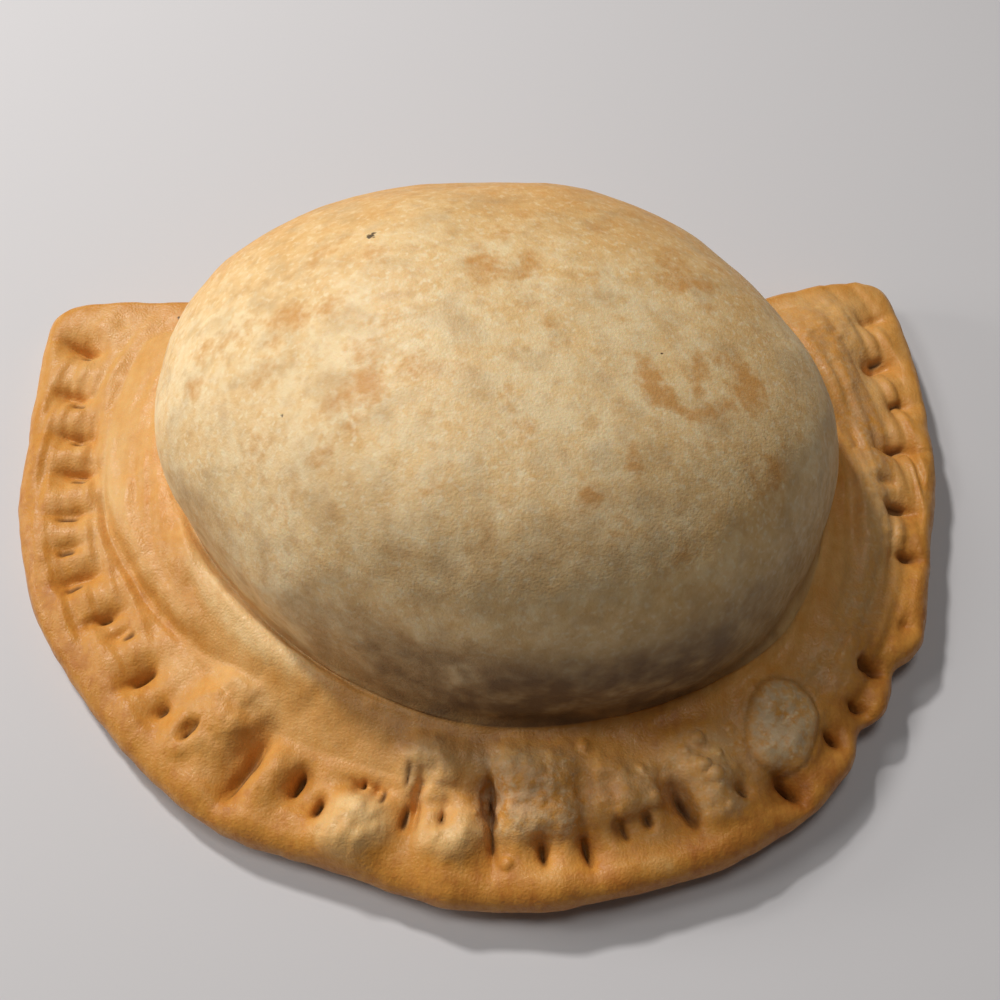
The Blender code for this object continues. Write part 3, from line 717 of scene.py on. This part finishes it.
def dusky_skin_and_shade(bearing, beyond, height, zone):
    """How dusky the dome's skin is, partly its own colour and partly painted shade, and the painted shade
    on the collar next to it.
    """
    dusky_and_shade = np.zeros(height.shape)
    for middle, spread, upper, lower, share in DUSKY_SKIN_AND_SHADE:
        facing = np.clip(DUSKY_FULLNESS * near(bearing, middle, spread), 0, 1)
        dusky_and_shade = dusky_and_shade + share * facing * smooth_step(-height, -upper, -lower)
    # On the collar next to the dome's front the dusk is all painted shade.
    runs_on = in_zones(zone, "collar") * inner_collar(beyond) * swelled(0, COLLAR_PAINTED_SHADE, bearing)
    return np.where(in_zones(zone, *DOME_ZONES), dusky_and_shade, runs_on)


def baking(plan, bearing, reach, height, zone, crease, weight):
    """How brown, grey, patchy and dusky each point is, with painted shade and highlights among these, and
    whether it is rind, not dome.
    """
    beyond, edge_gap = reach - crease, rim_radius(bearing) - reach
    bake = browned(plan, bearing, beyond, edge_gap, height, zone)
    grey = greyed(bearing, beyond, edge_gap, zone)
    # The blisters' grey skin, and their paler tops, which are in part a painted highlight.
    for name, (paler, greyer) in BLISTER_SKIN_AND_HIGHLIGHTS.items():
        place, half_sizes, turn, _, boxiness = BLISTERS[name]
        mask = spot_mask(plan, place, half_sizes, turn, boxiness)
        mask = weight * smooth_step(mask, BLISTER_SKIN_FROM, BLISTER_SKIN_FULL)
        bake = bake - paler * mask
        grey = np.maximum(grey, greyer * mask)
    # Pale spots, some of them painted highlights.
    for x, y, half_x, half_y, turn, paler in PALE_AND_HIGHLIGHT_SPOTS:
        bake = bake - paler * weight * spot_mask(plan, (x, y), (half_x, half_y), turn)
    return {
        "bake": bake,
        "grey": grey,
        "patch": brown_patches(plan, height),
        "rind": 1 - smooth_step(height, RIND_FULL, RIND_FROM),
        "dusky_and_shade": dusky_skin_and_shade(bearing, beyond, height, zone),
    }


def crust_mesh():
    """The skin as a mesh, with every second column left out where it is coarse, and the fields on it."""
    points, zone, peak, fields = crust_skin()
    rings, corners, start = [], [], 0
    values = {field: [] for field in fields}
    for row, name in enumerate(zone):
        step = 2 if name in COARSE_ZONES else 1
        corners.append(points[row, ::step])
        for field in fields:
            values[field].append(fields[field][row, ::step])
        rings.append(start + np.arange(len(corners[-1])))
        start += len(corners[-1])
    corners.append(peak[None])
    for field in fields:
        values[field].append(fields[field][0, :1])
    faces = [(start, a, b) for a, b in zip(rings[0], np.roll(rings[0], -1))]
    for upper, lower in zip(rings, rings[1:]):
        faces += ring_faces(upper, lower)
    faces.append(rings[-1][::-1])
    mesh = bpy.data.meshes.new("crust")
    mesh.from_pydata(np.concatenate(corners).tolist(), [], [tuple(int(i) for i in face) for face in faces])
    mesh.shade_smooth()
    for field, parts in values.items():
        made = mesh.attributes.new(field, "FLOAT", "POINT")
        made.data.foreach_set("value", np.concatenate(parts).astype(np.float32))
    return mesh


def ring_faces(upper, lower):
    """Faces between two rings, one of which may have twice as many points as the other."""
    if len(upper) == len(lower):
        return list(zip(upper, lower, np.roll(lower, -1), np.roll(upper, -1)))
    if len(lower) > len(upper):
        mid, end = lower[1::2], np.roll(lower[::2], -1)
        return list(zip(upper, lower[::2], mid, end, np.roll(upper, -1)))
    mid, end = upper[1::2], np.roll(upper[::2], -1)
    return list(zip(upper[::2], lower, np.roll(lower, -1), end, mid))


class Shader:
    """A material's node tree, built a node at a time."""

    def __init__(self, name):
        self.material = bpy.data.materials.new(name)
        self.material.use_nodes = True
        self.tree = self.material.node_tree
        self.surface = self.tree.nodes["Principled BSDF"]

    def set_input(self, socket, value):
        if isinstance(value, bpy.types.NodeSocket):
            self.tree.links.new(value, socket)
        else:
            socket.default_value = value

    def node(self, kind, inputs=(), **settings):
        made = self.tree.nodes.new(kind)
        for name, value in settings.items():
            setattr(made, name, value)
        for key, value in dict(inputs).items():
            self.set_input(made.inputs[key], value)
        return made

    def math(self, operation, a, b=0.0, c=0.0, clamp=False):
        inputs = {0: a, 1: b, 2: c}
        return self.node("ShaderNodeMath", inputs, operation=operation, use_clamp=clamp).outputs[0]

    def times(self, a, b):
        return self.math("MULTIPLY", a, b)

    def sum_of(self, base, *parts, clamp=False):
        """The base plus each part's value times its share."""
        for value, share in parts[:-1]:
            base = self.math("MULTIPLY_ADD", value, share, base)
        value, share = parts[-1]
        return self.math("MULTIPLY_ADD", value, share, base, clamp)

    def above(self, value, level, sharpness):
        """0 up to a level of the value, then rising to 1."""
        return self.math("MULTIPLY", self.math("SUBTRACT", value, level), sharpness, clamp=True)

    def field(self, name):
        return self.node("ShaderNodeAttribute", attribute_name=name).outputs["Fac"]

    def noise(self, size, shift=0.0, detail=2.0, stretch=(1, 1, 1)):
        """Noise about 0 whose features have the given size in metres."""
        place = self.node("ShaderNodeTexCoord").outputs["Object"]
        scale = tuple(1 / (size * part) for part in stretch)
        mapped = self.node("ShaderNodeMapping", {"Vector": place, "Scale": scale, "Location": (shift,) * 3})
        inputs = {"Vector": mapped.outputs[0], "Scale": 1.0, "Detail": detail, "Roughness": 0.5}
        return self.math("SUBTRACT", self.node("ShaderNodeTexNoise", inputs).outputs["Fac"], 0.5)

    def ramp(self, factor, stops):
        made = self.node("ShaderNodeValToRGB", {"Fac": factor})
        elements = made.color_ramp.elements
        while len(elements) < len(stops):
            elements.new(0.5)
        for element, (place, colour) in zip(elements, stops):
            element.position = place
            element.color = colour
        return made.outputs["Color"]

    def mix(self, factor, a, b):
        made = self.node("ShaderNodeMix", data_type="RGBA", blend_type="MIX")
        for name, value in (("Factor_Float", factor), ("A_Color", a), ("B_Color", b)):
            self.set_input(next(s for s in made.inputs if s.identifier == name), value)
        return next(s for s in made.outputs if s.identifier == "Result_Color")


def srgb(red, green, blue):
    """A linear colour from 8-bit display values."""
    levels = [value / 255 for value in (red, green, blue)]
    return (*[v / 12.92 if v <= 0.04045 else ((v + 0.055) / 1.055) ** 2.4 for v in levels], 1.0)


# The dough's colour from pale to dark.
BAKED_DOUGH = (
    (0.0, srgb(242, 215, 166)),
    (0.14, srgb(237, 201, 144)),
    (0.3, srgb(228, 184, 120)),
    (0.5, srgb(221, 166, 95)),
    (0.7, srgb(208, 143, 62)),
    (0.85, srgb(183, 114, 45)),
    (1.0, srgb(134, 78, 26)),
)
# Noise in three sizes, with the place that it is read from.
BROAD_NOISE, MEDIUM_NOISE, FINE_NOISE = (14 * MM, 0.0), (4.5 * MM, 3.1), (1.5 * MM, 7.7)
# How much browner each makes the dough, and by what share less on the rind.
BROAD_BROWNS, MEDIUM_BROWNS, FINE_BROWNS, RIND_EVENER = 0.34, 0.4, 0.34, 0.4
# Streaks in the rind: size, place in the noise, length along each axis, and how much browner they are.
STREAK_NOISE, STREAK_STRETCH, STREAK_BROWNER = (1.6 * MM, 6.1), (1, 5, 2), 0.22
PIT_BROWNER = 0.12

# Pale speckles: size, place in the noise and detail, the level above which they show and how sharply.
SPECKLE_COLOUR = srgb(246, 224, 180)
SPECKLE_NOISE, SPECKLE_LEVEL, SPECKLE_SHARPNESS = (1.1 * MM, 9.4, 1.0), 0.04, 5.0
# Their share on the dome, and what the rind, browner dough and grey skin add to it.
SPECKLE_SHARE, SPECKLE_ON_RIND, SPECKLE_ON_BROWN, SPECKLE_ON_GREY = 0.86, -0.74, -1.2, 0.7
# Tan mottling and greyer smudges: the same, then the share on the dome, what the rind adds to it, colour.
MOTTLES = (
    ((3.4 * MM, 5.8, 4.0), 0.02, 5.0, 0.46, -0.38, srgb(198, 152, 96)),
    ((7 * MM, 8.8, 4.0), 0.0, 4.0, 0.48, -0.46, srgb(188, 156, 112)),
)
# Brown patches: how ragged the two noises make them, the level above which they show and how sharply, how
# soon they are whole, and their share.
PATCH_COLOUR = srgb(207, 146, 74)
PATCH_MEDIUM, PATCH_FINE, PATCH_LEVEL, PATCH_SHARPNESS = 1.1, 0.9, 0.26, 1.7
PATCH_FULLNESS, PATCH_SHARE = 3.0, 0.72

# The grey skin and the dusky skin, which is partly painted shade, are mottled: how much of each there is
# between the mottles, and what two of the noises add.
GREY_SKIN_COLOUR = srgb(212, 186, 146)
GREY_SHARE, GREY_MEDIUM, GREY_FINE = 0.52, 2.6, 3.4
DUSKY_AND_SHADE_COLOUR = srgb(130, 103, 74)
DUSKY_SHARE, DUSKY_MEDIUM, DUSKY_BROAD = 0.8, 1.1, 0.9
# The cuts, and the groove round the largest bubble, are painted with shade: its colour and its share.
CUT_PAINTED_SHADE = srgb(70, 38, 16)
CUT_SHADE_SHARE = 0.9
# Charred specks: size of the ragged edge and its place in the noise, how ragged and how sharp they are
# against their radius, and their share.
CHAR_COLOUR = srgb(50, 34, 20)
CHAR_NOISE, CHAR_RAGGED, CHAR_SHARPNESS, CHAR_SHARE = (0.7 * MM, 4.2, 1.0), 1.6, 2.5, 0.88

# The surface: roughness, and what the fine noise, the rind and the cuts add to it. Light glows a little
# way through the dough.
ROUGHNESS, FINE_ROUGHER, RIND_ROUGHER, CUT_ROUGHER = 0.54, 0.4, -0.12, 0.4
SPECULAR_LEVEL = 0.27
GLOW_SHARE, GLOW_COLOURS, GLOW_DEPTH = 0.1, (1.0, 0.45, 0.2), 2 * MM
# Its bumps: pores, fine grain and lumps, and what the rind adds to the lumps and to the strength.
PORE_NOISE, PORE_SHARE, FINE_SHARE = (0.5 * MM, 1.3, 1.0), 0.55, 0.35
LUMP_NOISE, LUMP_SHARE, LUMP_ON_RIND = (3 * MM, 2.2, 1.0), 0.3, 0.4
BUMP_STRENGTH, BUMP_ON_RIND, BUMP_DEPTH = 0.3, 0.14, 0.5 * MM

FLOOR_COLOUR, FLOOR_ROUGHNESS = srgb(211, 209, 210), 0.8
FLOOR_HALF_SIZE = 1500 * MM
FLOOR_DROP = 0.05 * MM

# The lights, all equally far away: direction, size, power.
LIGHT_COLOUR = (1.0, 0.98, 0.96)
LIGHT_DISTANCE = 1000 * MM
LIGHTS = {
    "key": ((-0.37, 0.52, 0.77), 0.1, 5.4),
    "left": ((-0.63, 0.13, 0.77), 0.25, 1.7),
    "low left": ((-0.94, 0.17, 0.31), 0.25, 2.4),
    "above": ((0.0, 0.03, 1.0), 0.25, 1.6),
}
ROOM_COLOUR, ROOM_BRIGHTNESS = (0.95, 0.97, 1.0, 1.0), 0.05


def crust_material():
    """Baked dough that follows the fields on the mesh."""
    s = Shader("crust")
    noises = [s.noise(*noise) for noise in (BROAD_NOISE, MEDIUM_NOISE, FINE_NOISE)]
    s.set_input(s.surface.inputs["Base Color"], crust_colour(s, *noises))
    set_surface(s, noises[-1])
    return s.material


def crust_colour(s, broad, medium, fine):
    """The dough's colour, then the marks and skins that lie over it, with painted shade on the dusky front
    and in the cuts.
    """
    rind = s.field("rind")
    wander = s.sum_of(0.0, (broad, BROAD_BROWNS), (fine, FINE_BROWNS), (medium, MEDIUM_BROWNS))
    streaks = s.times(s.noise(*STREAK_NOISE, stretch=STREAK_STRETCH), rind)
    bake = s.sum_of(
        s.field("bake"),
        (wander, s.sum_of(1.0, (rind, -RIND_EVENER))),
        (streaks, STREAK_BROWNER),
        (s.field("pit"), PIT_BROWNER),
        clamp=True,
    )
    colour = dome_marks(s, s.ramp(bake, BAKED_DOUGH), rind, medium, fine)
    mottled = s.sum_of(GREY_SHARE, (fine, GREY_FINE), (medium, GREY_MEDIUM), clamp=True)
    colour = s.mix(s.times(s.field("grey"), mottled), colour, GREY_SKIN_COLOUR)
    # The dusky skin: the dome front's own grey-brown, and painted shade there and on the collar before it.
    mottled = s.sum_of(DUSKY_SHARE, (broad, DUSKY_BROAD), (medium, DUSKY_MEDIUM), clamp=True)
    colour = s.mix(s.times(s.field("dusky_and_shade"), mottled), colour, DUSKY_AND_SHADE_COLOUR)
    # Painted shade in the cuts and in the groove round the largest bubble.
    colour = s.mix(s.times(s.field("cut"), CUT_SHADE_SHARE), colour, CUT_PAINTED_SHADE)
    return charred_specks(s, colour)


def dome_marks(s, colour, rind, medium, fine):
    """Pale speckles, tan and greyish mottling, and ragged brown patches."""
    speckle = s.above(s.noise(*SPECKLE_NOISE), SPECKLE_LEVEL, SPECKLE_SHARPNESS)
    browner, greyer = (s.field("bake"), SPECKLE_ON_BROWN), (s.field("grey"), SPECKLE_ON_GREY)
    share = s.sum_of(SPECKLE_SHARE, (rind, SPECKLE_ON_RIND), browner, clamp=True)
    share = s.sum_of(share, greyer, clamp=True)
    colour = s.mix(s.times(speckle, share), colour, SPECKLE_COLOUR)
    for noise, level, sharpness, dome_share, rind_adds, mottle_colour in MOTTLES:
        mottle = s.above(s.noise(*noise), level, sharpness)
        colour = s.mix(s.times(mottle, s.sum_of(dome_share, (rind, rind_adds))), colour, mottle_colour)
    patch = s.field("patch")
    ragged = s.sum_of(patch, (medium, PATCH_MEDIUM), (fine, PATCH_FINE))
    ragged = s.above(ragged, PATCH_LEVEL, PATCH_SHARPNESS)
    ragged = s.times(ragged, s.above(patch, 0.0, PATCH_FULLNESS))
    return s.mix(s.times(ragged, PATCH_SHARE), colour, PATCH_COLOUR)


def charred_specks(s, colour):
    """Small charred specks with ragged edges."""
    place = s.node("ShaderNodeTexCoord").outputs["Object"]
    place = s.node("ShaderNodeMapping", {"Vector": place, "Scale": (1, 1, SPECK_FLATNESS)}).outputs[0]
    ragged = s.noise(*CHAR_NOISE)
    for x, y, z, radius in SPECKS:
        centre = (x * MM, y * MM, z * SPECK_FLATNESS * MM)
        distance = s.node("ShaderNodeVectorMath", {0: place, 1: centre}, operation="DISTANCE")
        gap = s.sum_of(distance.outputs["Value"], (ragged, CHAR_RAGGED * radius * MM))
        inside = s.sum_of(CHAR_SHARPNESS, (gap, -CHAR_SHARPNESS / (radius * MM)), clamp=True)
        colour = s.mix(s.times(inside, CHAR_SHARE), colour, CHAR_COLOUR)
    return colour


def set_surface(s, fine):
    """The dough's roughness, gloss, depth of glow and bumps."""
    rind = s.field("rind")
    roughness = s.sum_of(
        ROUGHNESS, (rind, RIND_ROUGHER), (fine, FINE_ROUGHER), (s.field("cut"), CUT_ROUGHER), clamp=True
    )
    s.set_input(s.surface.inputs["Roughness"], roughness)
    s.surface.inputs["Specular IOR Level"].default_value = SPECULAR_LEVEL
    s.surface.inputs["Subsurface Weight"].default_value = GLOW_SHARE
    s.surface.inputs["Subsurface Radius"].default_value = GLOW_COLOURS
    s.surface.inputs["Subsurface Scale"].default_value = GLOW_DEPTH
    lump_share = s.sum_of(LUMP_SHARE, (rind, LUMP_ON_RIND))
    bumps = s.sum_of(
        0.0, (fine, FINE_SHARE), (s.noise(*PORE_NOISE), PORE_SHARE), (s.noise(*LUMP_NOISE), lump_share)
    )
    strength = s.sum_of(BUMP_STRENGTH, (rind, BUMP_ON_RIND))
    bump = s.node("ShaderNodeBump", {"Height": bumps, "Strength": strength, "Distance": BUMP_DEPTH})
    s.set_input(s.surface.inputs["Normal"], bump.outputs[0])


def floor_material():
    s = Shader("floor")
    s.surface.inputs["Base Color"].default_value = FLOOR_COLOUR
    s.surface.inputs["Roughness"].default_value = FLOOR_ROUGHNESS
    return s.material


def add_object(name, data):
    made = bpy.data.objects.new(name, data)
    bpy.context.scene.collection.objects.link(made)
    return made


def add_light(name, towards, size, power):
    lamp = bpy.data.lights.new(name, "AREA")
    lamp.shape = "DISK"
    lamp.size, lamp.energy, lamp.color = size, power, LIGHT_COLOUR
    made = add_object(name, lamp)
    direction = Vector(towards).normalized()
    made.location = direction * LIGHT_DISTANCE
    made.rotation_euler = direction.to_track_quat("Z", "Y").to_euler()


# The crust, put where the solid is.
crust_data = crust_mesh()
low, high = (np.array(corner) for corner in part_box("calzone"))
mine = np.array([tuple(corner.co) for corner in crust_data.vertices])
middle_gap = (low + high) / 2 - (mine.min(0) + mine.max(0)) / 2
crust_shift = Vector((middle_gap[0], middle_gap[1], 0))
crust = add_object("crust", crust_data)
crust.location = crust_shift
crust.data.materials.append(crust_material())
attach(crust, "root")
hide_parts("calzone")

# A plain pale floor.
floor_data = bpy.data.meshes.new("floor")
floor_signs = ((-1, -1), (1, -1), (1, 1), (-1, 1))
floor_corners = [(x * FLOOR_HALF_SIZE, y * FLOOR_HALF_SIZE, 0) for x, y in floor_signs]
floor_data.from_pydata(floor_corners, [], [(0, 1, 2, 3)])
floor = add_object("floor", floor_data)
floor.location.z = -FLOOR_DROP
floor.data.materials.append(floor_material())

# Light: a key from behind at the left, soft ones from the left and from above, and a dim room.
for light_name, (light_direction, light_size, light_power) in LIGHTS.items():
    add_light(light_name, light_direction, light_size, light_power)
world = bpy.data.worlds.new("room")
bpy.context.scene.world = world
world.use_nodes = True
world.node_tree.nodes["Background"].inputs["Color"].default_value = ROOM_COLOUR
world.node_tree.nodes["Background"].inputs["Strength"].default_value = ROOM_BRIGHTNESS

# The camera.
lens = bpy.data.cameras.new("camera")
lens.lens, lens.sensor_width, lens.clip_start = FOCAL_LENGTH_MM, SENSOR_WIDTH_MM, CLIP_START
camera = add_object("camera", lens)
azimuth, elevation = math.radians(CAMERA_AZIMUTH), math.radians(CAMERA_ELEVATION)
back = Vector((
    math.sin(azimuth) * math.cos(elevation), -math.cos(azimuth) * math.cos(elevation), math.sin(elevation),
))
camera.location = CAMERA_TARGET + crust_shift + back * CAMERA_DISTANCE
camera.rotation_euler = back.to_track_quat("Z", "Y").to_euler()
bpy.context.scene.camera = camera
bpy.context.scene.view_settings.view_transform = "Standard"
